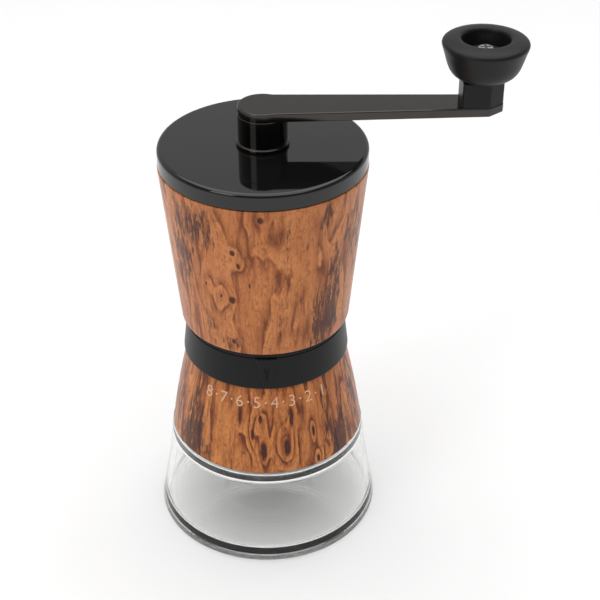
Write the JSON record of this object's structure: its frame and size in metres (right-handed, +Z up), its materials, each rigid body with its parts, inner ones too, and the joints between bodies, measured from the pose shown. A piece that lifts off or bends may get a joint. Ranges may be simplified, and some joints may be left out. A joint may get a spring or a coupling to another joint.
{
  "type": "hand burr coffee grinder",
  "caption": "Waisted hand coffee grinder with a side crank and bowl knob, lidded hopper, grind setting ring, conical burrs and a screw-on glass jar.",
  "frame": {"origin": "centre of the jar's flat base, on the shaft's axis", "axes": "+Z up along the shaft; +X from the shaft towards the knob at rest; -Y towards the dial"},
  "size_m": [0.148, 0.0948, 0.2197],
  "materials": {
    "wood_print": "burl wood print under clear lacquer",
    "gloss_black": "polished black",
    "black_nickel": "gloss black nickel",
    "soft_black": "soft touch matt black",
    "ring_black": "fine satin black",
    "inner_black": "moulded matt black",
    "clear_glass": "clear pressed glass",
    "seal_rubber": "matt black",
    "bronze": "sintered",
    "burr_steel": "ground",
    "bright_steel": "bright zinc"
  },
  "bodies": {
    "housing": {"upper_shell": "wood_print", "hopper": "inner_black", "shaft_bridge": "inner_black", "upper_bush": "bronze", "core_tube": "inner_black", "lower_shell": "wood_print", "jar_socket": "inner_black", "lower_spider": "inner_black", "lower_bush": "bronze", "spider_screws": "bright_steel"},
    "lid": {"lid": "gloss_black", "lid_seal": "seal_rubber", "lid_bush": "bronze"},
    "crank": {"crank_hub": "black_nickel", "drive_socket": "bright_steel", "hub_clip": "bright_steel", "hub_screw": "bright_steel", "crank_arm": "black_nickel", "knob_block": "soft_black", "knob_washer": "bright_steel", "knob_screw": "bright_steel"},
    "knob": {"knob": "soft_black"},
    "shaft": {"drive_shaft": "bright_steel", "inner_burr": "burr_steel", "burr_washer": "bright_steel", "burr_nut": "bright_steel", "thrust_washer": "bright_steel", "shaft_clip": "bright_steel"},
    "ring": {"adjusting_ring": "ring_black"},
    "carrier": {"burr_carrier": "inner_black", "outer_burr": "burr_steel", "burr_clip": "bright_steel", "cam_pins": "bright_steel", "burr_spring": "bright_steel"},
    "jar_seal": {"jar_gasket": "seal_rubber"},
    "jar": {"glass_jar": "clear_glass"}
  },
  "joints": [
    {"name": "lid_lift", "type": "slide", "parent": "housing", "child": "lid", "axis": [0, 0, 1], "range_m": [0, 0.06]},
    {"name": "crank_turn", "type": "hinge", "parent": "lid", "child": "crank", "pos_m": [0, 0, 0.18], "axis": [0, 0, 1], "continuous": true},
    {"name": "knob_spin", "type": "hinge", "parent": "crank", "child": "knob", "pos_m": [0.084, 0, 0.21], "axis": [0, 0, 1], "continuous": true},
    {"name": "shaft_turn", "type": "hinge", "parent": "housing", "child": "shaft", "pos_m": [0, 0, 0.1], "axis": [0, 0, 1], "continuous": true},
    {"name": "ring_turn", "type": "hinge", "parent": "housing", "child": "ring", "pos_m": [0, 0, 0.091], "axis": [0, 0, 1], "range_deg": [-40, 40]},
    {"name": "carrier_slide", "type": "slide", "parent": "housing", "child": "carrier", "axis": [0, 0, 1], "range_m": [-0.00051, 0.00051], "deforming": ["burr_spring"]},
    {"name": "jar_drop", "type": "slide", "parent": "housing", "child": "jar_seal", "axis": [0, 0, -1], "range_m": [0, 0.00626]},
    {"name": "jar_unscrew", "type": "hinge", "parent": "jar_seal", "child": "jar", "pos_m": [0, 0, 0.05], "axis": [0, 0, -1], "range_deg": [0, 450]}
  ],
  "couplings": [
    {"joint": "shaft_turn", "follows": "crank_turn", "ratio": 1},
    {"joint": "carrier_slide", "follows": "ring_turn", "m_per_rad": -0.0007162},
    {"joint": "jar_drop", "follows": "jar_unscrew", "m_per_rad": 0.00079577}
  ]
}
